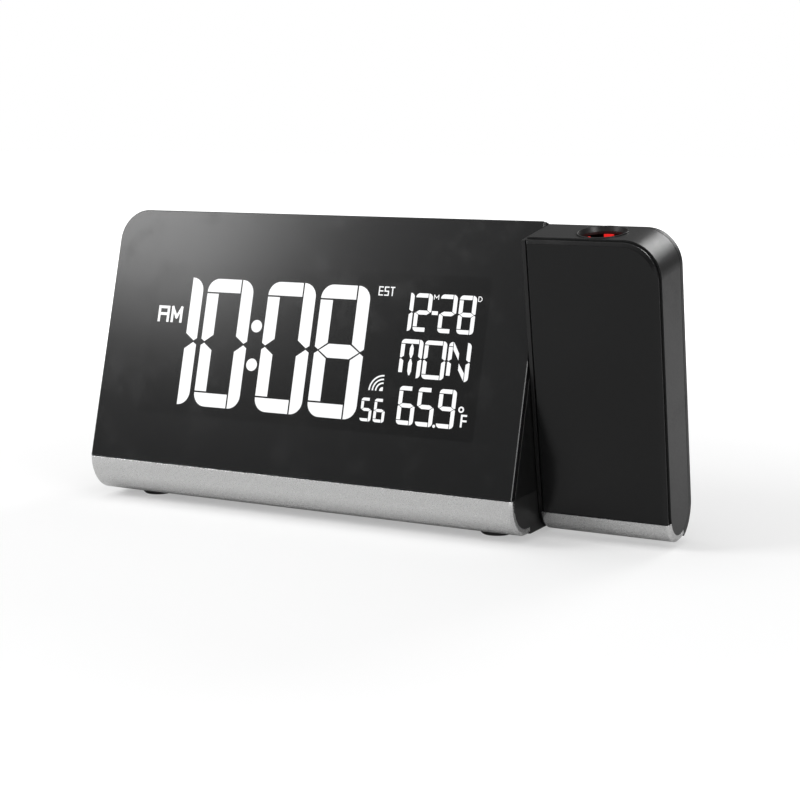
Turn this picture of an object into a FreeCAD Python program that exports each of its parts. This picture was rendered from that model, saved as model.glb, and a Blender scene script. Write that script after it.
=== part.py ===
import FreeCAD, Part
import math
import os

from FreeCAD import Placement, Rotation, Vector

os.makedirs("parts", exist_ok=True)

# A table clock with a leaning slab, a silver strip round its base, and a lens arm that turns beside it.
# Millimetres. X runs along the width, Y backwards and Z up. The origin is under the middle of the whole
# clock, on the table.

# Slab: the leaning body that holds the display
body_width = 160.0
glass_height = 87.0
slab_depth = 20.6
lean_angle = 15.1
corner_radius = 10.5
lens_bevel = 0.25
lens_thickness = 2.0
rim = 0.2
seam_gap = 0.3
wall = 2.2
rear_round = 2.5
side_round = 0.5

# Display stack behind the lens
window_left, window_right = 17.1, 144.8
window_low, window_high = 16.8, 68.6
lcd_margin = 3.1
lcd_ledge = 5.8
lens_to_lcd = 1.2
lcd_thickness = 2.6
frame_thickness = 4.0
stack_gap = 0.2
guide_thickness = 3.0
reflector_thickness = 0.8
strip_height = 2.2
strip_inset = 14.0

# Main board
board_thickness = 1.6
board_left, board_right = 14.0, 146.0
board_low, board_high = 4.0, 79.0
board_post_radius = 2.2
board_post_inset = 3.5

# Base: the foot of the clock, with the battery bay
base_height = 12.9
base_depth = 47.7
hump_height = 13.0
hump_rear_height = 7.6
hump_round = 5.0
base_corner = 3.0
base_wall = 2.0
floor_level = 9.6
band_thickness = 2.2
band_proud = 0.3
band_radius = 12.0
band_lap = 14.0
bevel = 0.9
glue_gap = 0.1
foot_height = 2.4
foot_bevel = 0.8
foot_radius = 5.5
foot_recess = 0.8
foot_side_inset = 14.0
foot_front, foot_rear = 20.0, 40.0

# Battery bay and door at the back of the base
cell_radius = 5.2
cell_length = 43.5
cell_bevel = 0.5
cell_nub_radius, cell_nub_length = 1.9, 1.0
bay_left, bay_right = 32.0, 128.0
bay_front = 34.0
bay_low, bay_high = -9.9, 1.1
door_thickness = 1.8
door_lap = 1.6
door_gap = 0.3
pin_radius = 0.7
pin_length = 1.6
running_gap = 0.05
divider = 2.5

# Power inlet, sounder and radio rod
jack_from_right = 14.0
jack_width, jack_length, jack_height = 9.0, 12.0, 9.0
jack_level = -5.0
jack_nose_radius, jack_bore_radius, jack_pin_radius = 3.1, 2.8, 1.0
sounder_radius, sounder_length, sounder_across = 7.0, 6.0, 16.0
slot_width, slot_height, slot_count, slot_pitch = 1.2, 8.0, 5, 2.4
rod_radius, rod_length = 2.8, 66.0
coil_radius, coil_length = 3.8, 24.0
rod_back, rod_level = 27.5, -5.6

# Buttons on the back and the long bar on top
button_names = ["time_button", "alarm_button", "plus_button", "minus_button", "unit_button"]
button_width, button_height = 12.0, 6.0
button_pitch = 18.0
button_level = 64.0
button_proud = 0.9
button_travel = 0.7
button_bevel = 0.4
button_flange = 1.0
flange_thickness = 1.0
button_gap = 0.2
stem_radius = 1.5
bar_width, bar_depth = 80.0, 10.0
bar_front = 7.0
bar_proud = 1.2
bar_travel = 0.8
bar_round = 0.6
switch_size, switch_height = 6.0, 3.4
plunger_radius, plunger_height = 1.7, 0.4

# Screws
screw_radius, screw_head_radius, screw_head_height = 1.2, 2.6, 1.4
screw_gap = 0.05
board_screw_radius, board_screw_head_radius, board_screw_head_height = 0.84, 1.9, 1.2
arm_screw_radius, arm_screw_head_radius, arm_screw_head_height = 0.96, 2.0, 1.0
arm_screw_sink = 1.3
screw_sink = 2.0
base_screw_sink = 1.8
head_gap = 0.3
boss_radius = 3.0
case_screw_side, case_screw_low, case_screw_high = 7.0, 8.0, 78.0
base_screw_side, base_screw_back = 24.0, 17.0
base_boss_height = 5.0

# Arm that carries the lens
arm_width = 42.0
arm_depth = 20.6
arm_above, arm_below = 43.0, 53.6
arm_turn = 10.2
arm_corner = 11.5
cap_thickness = 1.2
cap_inset = 0.7
arm_running_gap = 0.3
panel_thickness = 1.9
panel_edge = 1.1
panel_inset = 0.5
groove = 0.3
cover_thickness = 2.0
cover_round = 1.8
arm_band_top = 45.0
arm_band_rear = 2.4
arm_floor = 47.0

# Pivot between slab and arm
shaft_radius, shaft_bore_radius = 6.0, 3.5
shaft_flange_radius, shaft_flange_thickness = 7.3, 1.8
pivot_boss_radius, pivot_boss_length = 7.8, 6.8
washer_thickness, clip_thickness = 0.4, 0.8
clip_groove_depth = 1.0
shaft_end = 0.6
cable_radius = 1.5
cable_bend = 4.0

# Projector inside the arm
aperture_radius, rim_radius = 6.9, 7.8
rim_height = 2.0
rim_lip = 0.3
ring_radius, ring_height, ring_flutes, flute_radius = 6.6, 3.6, 18, 0.5
ring_depth = 3.6
barrel_radius, barrel_bore = 5.6, 4.6
barrel_length = 13.0
barrel_depth = 3.1
lens_travel = 1.2
retainer_height = 0.6
tube_half = 7.3
tube_low = 4.0
chamber_half, chamber_low, chamber_high = 5.2, 7.0, 22.0
mask_thickness, mask_level = 1.4, 20.0
condenser_radius, condenser_level = 4.6, 14.0
emitter_radius, emitter_height = 1.6, 2.4
emitter_board_thickness = 1.2
arm_board_back = 2.0
arm_board_low, arm_board_high = -38.0, 0.0

# Sizes worked out from those above
lean = math.radians(lean_angle)
slab_back = slab_depth - wall
housing_front = lens_thickness + seam_gap
lcd_front = lens_thickness + lens_to_lcd
lcd_back = lcd_front + lcd_thickness
guide_front = lcd_back + stack_gap
guide_back = guide_front + guide_thickness
frame_back = lens_thickness + frame_thickness
reflector_back = guide_back + reflector_thickness
board_front = reflector_back + stack_gap
board_back = board_front + board_thickness
switch_top = board_back + switch_height + plunger_height
body_right = body_width + rim
arm_left = body_right + arm_running_gap + cap_thickness
total_width = rim + arm_left + arm_width
centre_x = total_width / 2 - rim
centre_y = (base_depth - band_proud) / 2
glass_foot = foot_height + base_height
pivot_back = slab_depth / 2
pivot_up = glass_height / 2
half_depth = arm_depth / 2
round_centre = -(arm_below - half_depth)
shell_front = -half_depth + panel_thickness + groove
shell_back = half_depth - cover_thickness - groove
cell_back = bay_front + cell_radius + 0.3
cell_level = bay_low + cell_radius + 0.3
rear_inner = base_depth - base_wall


def block(x0, x1, y0, y1, z0, z1):
    """A box between two corners."""
    return Part.makeBox(x1 - x0, y1 - y0, z1 - z0, Vector(x0, y0, z0))


def rod(radius, start, end):
    """A cylinder from one point to another."""
    along = Vector(*end) - Vector(*start)
    return Part.makeCylinder(radius, along.Length, Vector(*start), along)


def tube(outer, inner, start, end):
    """A round tube from one point to another."""
    return rod(outer, start, end).cut(rod(inner, start, end))


def rounded_face(corners, lift):
    """A flat face through corners (a, b, radius), where lift turns (a, b) into a point in space."""
    points = [Vector(a, b, 0) for a, b, radius in corners]
    stops = []
    for i, (a, b, radius) in enumerate(corners):
        here = points[i]
        back = (points[i - 1] - here).normalize()
        ahead = (points[(i + 1) % len(points)] - here).normalize()
        half = back.getAngle(ahead) / 2
        reach = radius / math.tan(half)
        inward = (back + ahead).normalize()
        middle = here + inward * (radius / math.sin(half) - radius)
        stops.append((here + back * reach, middle, here + ahead * reach, radius))
    edges = []
    for i, (start, middle, end, radius) in enumerate(stops):
        if radius > 0:
            bend = [lift(p.x, p.y) for p in (start, middle, end)]
            edges.append(Part.Arc(*bend).toShape())
        following = stops[(i + 1) % len(stops)][0]
        if (following - end).Length > 0.001:
            straight = Part.LineSegment(lift(end.x, end.y), lift(following.x, following.y))
            edges.append(straight.toShape())
    return Part.Face(Part.Wire(edges))


def front_shape(corners, y0, y1):
    """A solid with an outline seen from the front, corners (x, z, radius), between two depths."""
    return rounded_face(corners, lambda a, b: Vector(a, y0, b)).extrude(Vector(0, y1 - y0, 0))


def side_shape(corners, x0, x1):
    """A solid with a profile seen from the side, corners (y, z, radius), between two widths."""
    return rounded_face(corners, lambda a, b: Vector(x0, a, b)).extrude(Vector(x1 - x0, 0, 0))


def bevel_between(face_a, face_b):
    """The straight-sided solid between two flat faces with matching corners."""
    return Part.makeLoft([face_a.OuterWire, face_b.OuterWire], True, True)


def edges_at(shape, test):
    """The edges whose two ends both pass a test."""
    return [e for e in shape.Edges if all(test(v.Point) for v in e.Vertexes)]


def together(shapes):
    """Several separate solids as one shape."""
    return Part.makeCompound(shapes)


def on_slab(shape):
    """Lean a shape back with the slab."""
    placed = shape.copy()
    tilt = Rotation(Vector(1, 0, 0), -lean_angle)
    placed.Placement = Placement(Vector(-centre_x, -centre_y, glass_foot), tilt)
    return placed


def on_base(shape):
    """Stand a shape level under the slab's front edge."""
    placed = shape.copy()
    placed.Placement = Placement(Vector(-centre_x, -centre_y, glass_foot), Rotation())
    return placed


def pivot_place():
    """The pivot's centre on the outside of the slab, measured from the slab's front edge."""
    back = pivot_up * math.sin(lean) + pivot_back * math.cos(lean)
    up = pivot_up * math.cos(lean) - pivot_back * math.sin(lean)
    return back, up


def on_arm(shape):
    """Turn a shape forward with the arm, about the pivot."""
    back, up = pivot_place()
    where = Vector(-centre_x + arm_left, -centre_y + back, glass_foot + up)
    placed = shape.copy()
    placed.Placement = Placement(where, Rotation(Vector(1, 0, 0), arm_turn))
    return placed


def save(name, shape):
    """Write one sub-part."""
    shape.exportStep("parts/" + name + ".step")


def slab_outline(grow, low):
    """The slab seen from the front, moved outwards by grow and carried down to low."""
    return [
        (-grow, low, 0),
        (-grow, glass_height + grow, corner_radius + grow),
        (body_width + grow, glass_height + grow, max(side_round + grow, 0.2)),
        (body_width + grow, low, 0),
    ]


def above_seam(shape, gap):
    """Cut a slab piece off level, a gap above the seam between slab and base."""
    slope = math.tan(lean)
    below = [(-5, gap - 5 * slope, 0), (30, gap + 30 * slope, 0), (30, -20, 0), (-5, -20, 0)]
    return shape.cut(side_shape(below, -5, body_width + 5))


def front_lens():
    plate = front_shape(slab_outline(0, 0), 0, lens_thickness)
    plate = plate.makeChamfer(lens_bevel, edges_at(plate, lambda p: abs(p.y) < 0.01))
    return above_seam(plate, 0.1)


def lcd_box(grow, y0, y1, low):
    """A block over the display's glass, moved outwards by grow."""
    left, right = window_left - lcd_margin - grow, window_right + lcd_margin + grow
    return block(left, right, y0, y1, low - grow, window_high + lcd_margin + grow)


def board_corners():
    """The four posts that hold the main board."""
    across = (board_left + board_post_inset, board_right - board_post_inset)
    up = (board_low + board_post_inset - 0.5, board_high - board_post_inset + 0.5)
    return [(x, z) for x in across for z in up]


def case_screws_at():
    """The four screws that go in from the back."""
    across = (case_screw_side, body_width - case_screw_side)
    return [(x, z) for x in across for z in (case_screw_low, case_screw_high)]


def front_frame():
    inset = wall - rim + stack_gap
    plate = front_shape(slab_outline(-inset, 2.0), lens_thickness, frame_back)
    window = block(window_left, window_right, 0, frame_back, window_low, window_high)
    lcd_low = window_low - lcd_ledge
    frame = plate.cut(window).cut(lcd_box(stack_gap, lcd_front, frame_back + 1, lcd_low))
    notch_left = body_right - wall - pivot_boss_length - 2.5
    notch_half = pivot_boss_radius + 0.8
    notch_low, notch_high = pivot_up - notch_half, pivot_up + notch_half
    frame = frame.cut(block(notch_left, body_width, 0, frame_back + 1, notch_low, notch_high))
    for x, z in board_corners():
        frame = frame.fuse(rod(board_post_radius, (x, frame_back, z), (x, board_front, z)))
        frame = frame.cut(rod(board_screw_radius, (x, frame_back - 1, z), (x, board_front, z)))
    for x, z in case_screws_at():
        frame = frame.cut(rod(screw_radius + screw_gap, (x, lens_thickness + 1, z), (x, frame_back, z)))
    return frame.removeSplitter()


def lcd_panel():
    return lcd_box(0, lcd_front, lcd_back, window_low - lcd_ledge)


def light_guide():
    return lcd_box(0, guide_front, guide_back, window_low - lcd_margin + 0.6)


def light_reflector():
    return lcd_box(0, guide_back, reflector_back, window_low - lcd_margin + 0.6)


def contact_strip():
    low = window_low - lcd_ledge + 0.3
    left, right = window_left + strip_inset, window_right - strip_inset
    return block(left, right, lcd_back, board_front, low, low + strip_height)


def main_board():
    board = front_shape(
        [
            (board_left, board_low, 1.5),
            (board_left, board_high, 1.5),
            (board_right, board_high, 1.5),
            (board_right, board_low, 1.5),
        ],
        board_front,
        board_back,
    )
    for x, z in board_corners():
        board = board.cut(rod(board_screw_radius + 0.1, (x, board_front - 1, z), (x, board_back + 1, z)))
    return board


def board_screws():
    screws = []
    for x, z in board_corners():
        shank = rod(board_screw_radius - screw_gap, (x, frame_back - 0.5, z), (x, board_back, z))
        head = rod(board_screw_head_radius, (x, board_back, z), (x, board_back + board_screw_head_height, z))
        screws.append(shank.fuse(head))
    return together(screws)


def button_places():
    """Where each button on the back sits across the slab."""
    first = body_width / 2 - button_pitch * (len(button_names) - 1) / 2
    return [first + button_pitch * i for i in range(len(button_names))]


def bar_switches_at():
    """The two switches under the long bar."""
    return [body_width / 2 - bar_width / 4, body_width / 2 + bar_width / 4]


def key_switches():
    half = switch_size / 2
    switches = []
    for x in button_places():
        case_back = board_back + switch_height
        case = block(x - half, x + half, board_back, case_back, button_level - half, button_level + half)
        plunger = rod(plunger_radius, (x, case_back, button_level), (x, switch_top, button_level))
        switches.append(case.fuse(plunger))
    for x in bar_switches_at():
        top = board_high - 0.5
        case = block(x - half, x + half, board_back, board_back + switch_size * 0.6, top - switch_height, top)
        centre = board_back + switch_size * 0.3
        switches.append(case.fuse(rod(plunger_radius, (x, centre, top), (x, centre, top + plunger_height))))
    return together(switches)


def board_parts():
    """The larger parts soldered to the back of the main board."""
    chip = block(70, 82, board_back, board_back + 1.6, 40, 52)
    radio = block(100, 112, board_back, board_back + 2.4, 38, 46)
    socket = block(134, 140, board_back, board_back + 4.0, pivot_up - 4, pivot_up + 4)
    small, tall = (2.5, 5.0), (3.1, 5.4)
    cans = []
    for x, z, (radius, height) in ((30, 30, small), (38, 30, small), (30, 44, tall)):
        cans.append(rod(radius, (x, board_back, z), (x, board_back + height, z)))
    quartz = block(88, 91, board_back, board_back + 2.6, 42, 50)
    return together([chip, radio, socket, quartz] + cans)


def button_cap(x):
    """One button: a cap through the back wall, a flange behind it and a stem towards its switch."""
    def pad(grow, y0, y1, radius):
        half_w, half_h = button_width / 2 + grow, button_height / 2 + grow
        return front_shape(
            [
                (x - half_w, button_level - half_h, radius),
                (x - half_w, button_level + half_h, radius),
                (x + half_w, button_level + half_h, radius),
                (x + half_w, button_level - half_h, radius),
            ],
            y0,
            y1,
        )
    flange_back = slab_back - button_gap
    cap = pad(-button_gap, flange_back, slab_depth + button_proud, button_height / 2 - button_gap - 0.1)
    cap = cap.makeChamfer(button_bevel, edges_at(cap, lambda p: p.y > slab_depth + button_proud - 0.01))
    flange = pad(button_flange, flange_back - flange_thickness, flange_back, 1.0)
    stem_end = switch_top + button_travel + 0.1
    stem = rod(stem_radius, (x, stem_end, button_level), (x, flange_back - flange_thickness, button_level))
    return cap.fuse(flange).fuse(stem)


def bar_pad(grow, z0, z1):
    """The long bar seen from above, between two heights."""
    half = bar_width / 2 + grow
    radius = bar_depth / 2 + grow - 0.1
    corners = [
        (body_width / 2 - half, bar_front - grow, radius),
        (body_width / 2 - half, bar_front + bar_depth + grow, radius),
        (body_width / 2 + half, bar_front + bar_depth + grow, radius),
        (body_width / 2 + half, bar_front - grow, radius),
    ]
    return rounded_face(corners, lambda a, b: Vector(a, b, z0)).extrude(Vector(0, 0, z1 - z0))


def snooze_bar():
    inside = glass_height + rim - wall - button_gap
    top = glass_height + rim + bar_proud
    cap = bar_pad(-button_gap, inside, top)
    cap = cap.makeFillet(bar_round, edges_at(cap, lambda p: p.z > top - 0.01))
    flange = bar_pad(0.8, inside - flange_thickness, inside)
    bar = cap.fuse(flange)
    centre = board_back + switch_size * 0.3
    stem_end = board_high - 0.5 + plunger_height + bar_travel + 0.1
    for x in bar_switches_at():
        bar = bar.fuse(rod(stem_radius, (x, centre, stem_end), (x, centre, inside)))
    return bar


def rear_housing():
    shell = front_shape(slab_outline(rim, -6), housing_front, slab_depth)
    shell = shell.makeFillet(rear_round, edges_at(shell, lambda p: p.y > slab_depth - 0.01))
    hollow = front_shape(slab_outline(rim - wall, -8), housing_front - 1, slab_back)
    shell = shell.cut(hollow)
    for x, z in case_screws_at():
        shell = shell.fuse(rod(boss_radius, (x, frame_back, z), (x, slab_back + 0.5, z)))
    boss_left = body_right - wall - pivot_boss_length
    boss_right = body_right - wall / 2
    boss = rod(pivot_boss_radius, (boss_left, pivot_back, pivot_up), (boss_right, pivot_back, pivot_up))
    shell = shell.fuse(boss)
    for side in (base_screw_side, body_width - base_screw_side):
        post = block(side - 2.4, side + 2.4, base_screw_back, base_screw_back + 4.0, 0, base_boss_height)
        post = post.fuse(rod(2.4, (side, base_screw_back, 0), (side, base_screw_back, base_boss_height)))
        post.rotate(Vector(0, 0, 0), Vector(1, 0, 0), lean_angle)
        post = post.common(block(0, body_width, 0, slab_back + 0.5, -8, 40))
        shell = shell.fuse(post)
        hole_top = base_boss_height + 1
        hole = rod(screw_radius + screw_gap, (side, base_screw_back, -1), (side, base_screw_back, hole_top))
        hole.rotate(Vector(0, 0, 0), Vector(1, 0, 0), lean_angle)
        shell = shell.cut(hole)
    shell = above_seam(shell, 0)
    bore_ends = ((boss_left - 1, pivot_back, pivot_up), (body_right + 1, pivot_back, pivot_up))
    bore = rod(shaft_radius + running_gap, *bore_ends)
    shell = shell.cut(bore)
    for x in button_places():
        half_w, half_h = button_width / 2, button_height / 2
        radius = half_h - 0.1
        hole = front_shape(
            [
                (x - half_w, button_level - half_h, radius),
                (x - half_w, button_level + half_h, radius),
                (x + half_w, button_level + half_h, radius),
                (x + half_w, button_level - half_h, radius),
            ],
            slab_back - 1,
            slab_depth + 1,
        )
        shell = shell.cut(hole)
    shell = shell.cut(bar_pad(0, glass_height - wall - 2, glass_height + 2))
    for x, z in case_screws_at():
        shell = shell.cut(rod(screw_radius + screw_gap, (x, frame_back - 1, z), (x, slab_depth + 1, z)))
        seat = slab_depth - screw_sink
        shell = shell.cut(rod(screw_head_radius + head_gap, (x, seat, z), (x, slab_depth + 1, z)))
    return shell.removeSplitter()


def case_screws():
    screws = []
    for x, z in case_screws_at():
        seat = slab_depth - screw_sink
        shank = rod(screw_radius, (x, lens_thickness + 1.5, z), (x, seat, z))
        head = rod(screw_head_radius, (x, seat, z), (x, seat + screw_head_height, z))
        screws.append(shank.fuse(head))
    return together(screws)


def band_profile(inset):
    """The curve at the front of the base, moved inwards by inset."""
    return [
        (inset - band_proud, 0, 0),
        (inset - band_proud, inset - base_height, band_radius - inset),
        (band_lap, inset - base_height, 0),
        (band_lap, 0, 0),
    ]


def base_band():
    outer = side_shape(band_profile(0), -rim, body_right)

    def at_an_end(p):
        return (p.x < -rim + 0.01 or p.x > body_right - 0.01) and p.y < band_lap - 0.1

    ends = [
        e
        for e in edges_at(outer, at_an_end)
        if abs(e.Vertexes[0].Point.x - e.Vertexes[-1].Point.x) < 0.01
        and not all(abs(v.Point.z) < 0.01 for v in e.Vertexes)
    ]
    band = outer.makeChamfer(bevel, ends)
    inner = side_shape(band_profile(band_thickness), -rim - 1, body_right + 1)
    inner = inner.fuse(block(-5, body_width + 5, band_thickness - band_proud, 40, -4, 5))
    band = band.cut(inner)
    return band.cut(block(-5, body_width + 5, -5, 40, -0.15, 5))


def slab_back_at(z, gap):
    """How far back the slab's rear face is at a height above the seam."""
    return slab_depth / math.cos(lean) + z * math.tan(lean) + gap


def base_shell_profile():
    front = band_thickness - band_proud + glue_gap
    low = band_thickness + glue_gap - base_height
    return [
        (front, 0, 0),
        (front, low, band_radius - band_thickness - glue_gap),
        (band_lap + 0.2, low, 0),
        (band_lap + 0.2, -base_height, 0),
        (base_depth, -base_height, base_corner),
        (base_depth, hump_rear_height + 2, hump_round),
        (slab_back_at(hump_height, 0.2), hump_height, 0.8),
        (slab_back_at(0, 0.2), 0, 0),
    ]


def feet_at():
    across = (foot_side_inset, body_width - foot_side_inset)
    return [(x, y) for x in across for y in (foot_front, foot_rear)]


def base_screws_at():
    return [(x, base_screw_back) for x in (base_screw_side, body_width - base_screw_side)]


def bay_recess(gap):
    """The space that the battery door fills, made larger by gap."""
    left, right = bay_left - door_lap - gap, bay_right + door_lap + gap
    low, high = bay_low + 0.2 - gap, bay_high + door_lap - 0.6 + gap
    return left, right, base_depth - door_thickness - gap, low, high


def door_hinge():
    """The battery door's hinge line: its depth and height."""
    left, right, front, low, high = bay_recess(0)
    return base_depth - door_thickness / 2, low + door_thickness / 2


def jack_across():
    return body_width - jack_from_right


def base_housing():
    shell = side_shape(base_shell_profile(), -rim, body_right)
    low = -floor_level
    inner_left, inner_right = base_wall, body_width - base_wall
    front = band_thickness - band_proud + glue_gap + base_wall
    well_back = slab_back_at(0, 0) + 2.5
    well = side_shape(
        [
            (front, 5, 0),
            (front, low, band_radius - band_thickness - base_wall),
            (well_back, low, 0),
            (well_back, -0.6, 0),
            (slab_back_at(0, 0.1), -0.6, 0),
            (slab_back_at(0, 0.1), 5, 0),
        ],
        inner_left,
        inner_right,
    )
    hump_left = slab_back_at(0, 0.2) + base_wall
    divide = bay_front - divider
    hump = side_shape(
        [
            (hump_left, low, 0),
            (divide, low, 0),
            (divide, hump_height - 3.9, 0),
            (hump_left + 2.8, hump_height - 2.6, 0),
            (hump_left, 0, 0),
        ],
        inner_left,
        inner_right,
    )
    shell = shell.cut(well).cut(hump)
    for left, right in ((inner_left, bay_left - base_wall), (bay_right + base_wall, inner_right)):
        shell = shell.cut(block(left, right, divide - 1, rear_inner, low, hump_rear_height - 3.0))
    shell = shell.cut(block(bay_left, bay_right, bay_front, base_depth + 1, bay_low, bay_high))
    left, right, recess_front, recess_low, recess_high = bay_recess(door_gap)
    shell = shell.cut(block(left, right, recess_front, base_depth + 1, recess_low, recess_high))
    hinge_back, hinge_level = door_hinge()
    reach = pin_length + door_gap + 0.3
    pin_ends = ((left - reach, hinge_back, hinge_level), (right + reach, hinge_back, hinge_level))
    shell = shell.cut(rod(pin_radius + running_gap, *pin_ends))
    x = jack_across()
    inlet_ends = ((x, rear_inner - 1, jack_level), (x, base_depth + 1, jack_level))
    shell = shell.cut(rod(jack_nose_radius + 0.1, *inlet_ends))
    for i in range(slot_count):
        x = sounder_across + slot_pitch * (i - (slot_count - 1) / 2)
        left, right = x - slot_width / 2, x + slot_width / 2
        level = low + sounder_radius + 0.2
        slot_low, slot_high = level - slot_height / 2, level + slot_height / 2
        shell = shell.cut(block(left, right, rear_inner - 1, base_depth + 1, slot_low, slot_high))
    for x, y in base_screws_at():
        shell = shell.fuse(rod(boss_radius, (x, y, low - 0.5), (x, y, 0)))
        shell = shell.cut(rod(screw_radius + screw_gap, (x, y, -base_height - 1), (x, y, 1)))
        sink_top = -base_height + base_screw_sink
        shell = shell.cut(rod(screw_head_radius + head_gap, (x, y, -base_height - 1), (x, y, sink_top)))
    for x, y in feet_at():
        recess_ends = ((x, y, -base_height - 1), (x, y, -base_height + foot_recess))
        shell = shell.cut(rod(foot_radius + 0.1, *recess_ends))
    return shell.removeSplitter()


def base_screws():
    screws = []
    for x, y in base_screws_at():
        seat = -base_height + base_screw_sink
        head = rod(screw_head_radius, (x, y, seat - screw_head_height), (x, y, seat))
        screws.append(head.fuse(rod(screw_radius, (x, y, seat), (x, y, base_boss_height - 0.5))))
    return together(screws)


def rubber_feet():
    feet = []
    for x, y in feet_at():
        foot = rod(foot_radius, (x, y, -base_height - foot_height), (x, y, -base_height + foot_recess))
        low = -base_height - foot_height
        feet.append(foot.makeChamfer(foot_bevel, edges_at(foot, lambda p: p.z < low + 0.01)))
    return together(feet)


def battery_door():
    left, right, front, low, high = bay_recess(0)
    radius = door_thickness / 2 - 0.01
    outline = [(front, high, 0), (front, low, radius), (base_depth, low, radius), (base_depth, high, 0)]
    leaf = side_shape(outline, left, right)
    hinge_back, hinge_level = door_hinge()
    for x, way in ((left, -1), (right, 1)):
        pin_end = x + way * pin_length
        pin = rod(pin_radius, (x - way, hinge_back, hinge_level), (pin_end, hinge_back, hinge_level))
        leaf = leaf.fuse(pin)
    middle = body_width / 2
    grip = rod(5.0, (middle, base_depth + 4.2, high - 2.2), (middle, base_depth + 4.3, high - 2.2))
    return leaf.cut(grip)


def backup_cells():
    cells = []
    nub_end = bay_right - 1.0
    for i in range(2):
        tip = nub_end - i * (cell_length + cell_nub_length + 0.1)
        shoulder = tip - cell_nub_length
        can_left = shoulder - cell_length
        can = rod(cell_radius, (can_left, cell_back, cell_level), (shoulder, cell_back, cell_level))
        can = can.makeChamfer(cell_bevel, [e for e in can.Edges if e.Curve.TypeId == "Part::GeomCircle"])
        nub = rod(cell_nub_radius, (shoulder, cell_back, cell_level), (tip, cell_back, cell_level))
        cells.append(can.fuse(nub))
    return together(cells)


def bay_contacts():
    """The flat contact at one end of the bay and the bent leaf at the other."""
    half = cell_radius - 1.0
    front, rear = cell_back - half, cell_back + half
    low, high = cell_level - half, cell_level + half
    plate = block(bay_right - 0.8, bay_right - 0.2, front, rear, low, high)
    cell_end = bay_right - 1.0 - 2 * (cell_length + cell_nub_length) - 0.1
    back_leaf = block(bay_left + 0.2, bay_left + 0.7, front, rear, low, high)
    tip = cell_end - 0.4
    root = bay_left + 0.5
    leaf = rounded_face(
        [
            (root, -half + 0.5, 0),
            (tip, 0, 1.0),
            (root, half - 0.5, 0),
            (root, half - 1.1, 0),
            (tip - 1.0, 0, 0.6),
            (root, -half + 1.1, 0),
        ],
        lambda a, b: Vector(a, cell_back - 2.0, cell_level + b),
    ).extrude(Vector(0, 4.0, 0))
    return together([plate, back_leaf.fuse(leaf)])


def power_jack():
    x = jack_across()
    rear = rear_inner - 0.1
    left, right = x - jack_width / 2, x + jack_width / 2
    low, high = jack_level - jack_height / 2, jack_level + jack_height / 2
    body = block(left, right, rear - jack_length, rear, low, high)
    bore_end = rear - jack_length + 2.5
    body = body.fuse(rod(jack_nose_radius, (x, rear - 0.5, jack_level), (x, base_depth - 0.2, jack_level)))
    body = body.cut(rod(jack_bore_radius, (x, bore_end, jack_level), (x, base_depth + 1, jack_level)))
    pin = rod(jack_pin_radius, (x, bore_end - 0.5, jack_level), (x, base_depth - 1.5, jack_level))
    return body.fuse(pin)


def sounder():
    rear = rear_inner - 0.2
    level = -floor_level + sounder_radius + 0.2
    case = rod(sounder_radius, (sounder_across, rear - sounder_length, level), (sounder_across, rear, level))
    mouth = rod(1.2, (sounder_across, rear - 1.0, level), (sounder_across, rear + 1, level))
    return case.cut(mouth)


def radio_rod():
    middle = body_width / 2
    left, right = middle - rod_length / 2, middle + rod_length / 2
    return rod(rod_radius, (left, rod_back, rod_level), (right, rod_back, rod_level))


def radio_coil():
    middle = body_width / 2
    ends = ((middle - coil_length / 2, rod_back, rod_level), (middle + coil_length / 2, rod_back, rod_level))
    return tube(coil_radius, rod_radius + running_gap, *ends)


def heat_sensor():
    """A bead on a small card that stands against the left wall of the base."""
    left = base_wall + 0.2
    card = block(left, left + 1.0, 20, 28, -floor_level + 0.1, -floor_level + 8.0)
    bead = rod(1.1, (left + 1.0, 24, -4.5), (left + 3.0, 24, -4.5))
    return card.fuse(bead)


def arm_profile(inset):
    """The arm seen from its side, moved inwards by inset, with a half-round lower end."""
    half = half_depth - inset
    return [
        (-half, arm_above - inset, 0.1),
        (half, arm_above - inset, max(cover_round - inset, 0.1)),
        (half, -arm_below + inset, half),
        (-half, -arm_below + inset, half),
    ]


def arm_outline(inset):
    """The arm seen from the front, moved inwards by inset on the top and the sides."""
    return [
        (inset, -arm_below - 5, 0),
        (inset, arm_above - inset, max(side_round - inset, 0.1)),
        (arm_width - inset, arm_above - inset, arm_corner - inset),
        (arm_width - inset, -arm_below - 5, 0),
    ]


def arm_envelope():
    from_the_side = side_shape(arm_profile(0), -1, arm_width + 1)
    return from_the_side.common(front_shape(arm_outline(0), -half_depth - 1, half_depth + 1))


def panel_corners(inset):
    """The arm's front panel seen from the front, moved inwards by inset on the top and the sides."""
    low = -arm_band_top + 0.2
    return [
        (inset * 0.5, low, 0),
        (inset * 0.5, arm_above - inset, 0),
        (arm_width - inset, arm_above - inset, arm_corner - inset),
        (arm_width - inset, low, 0),
    ]


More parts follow.
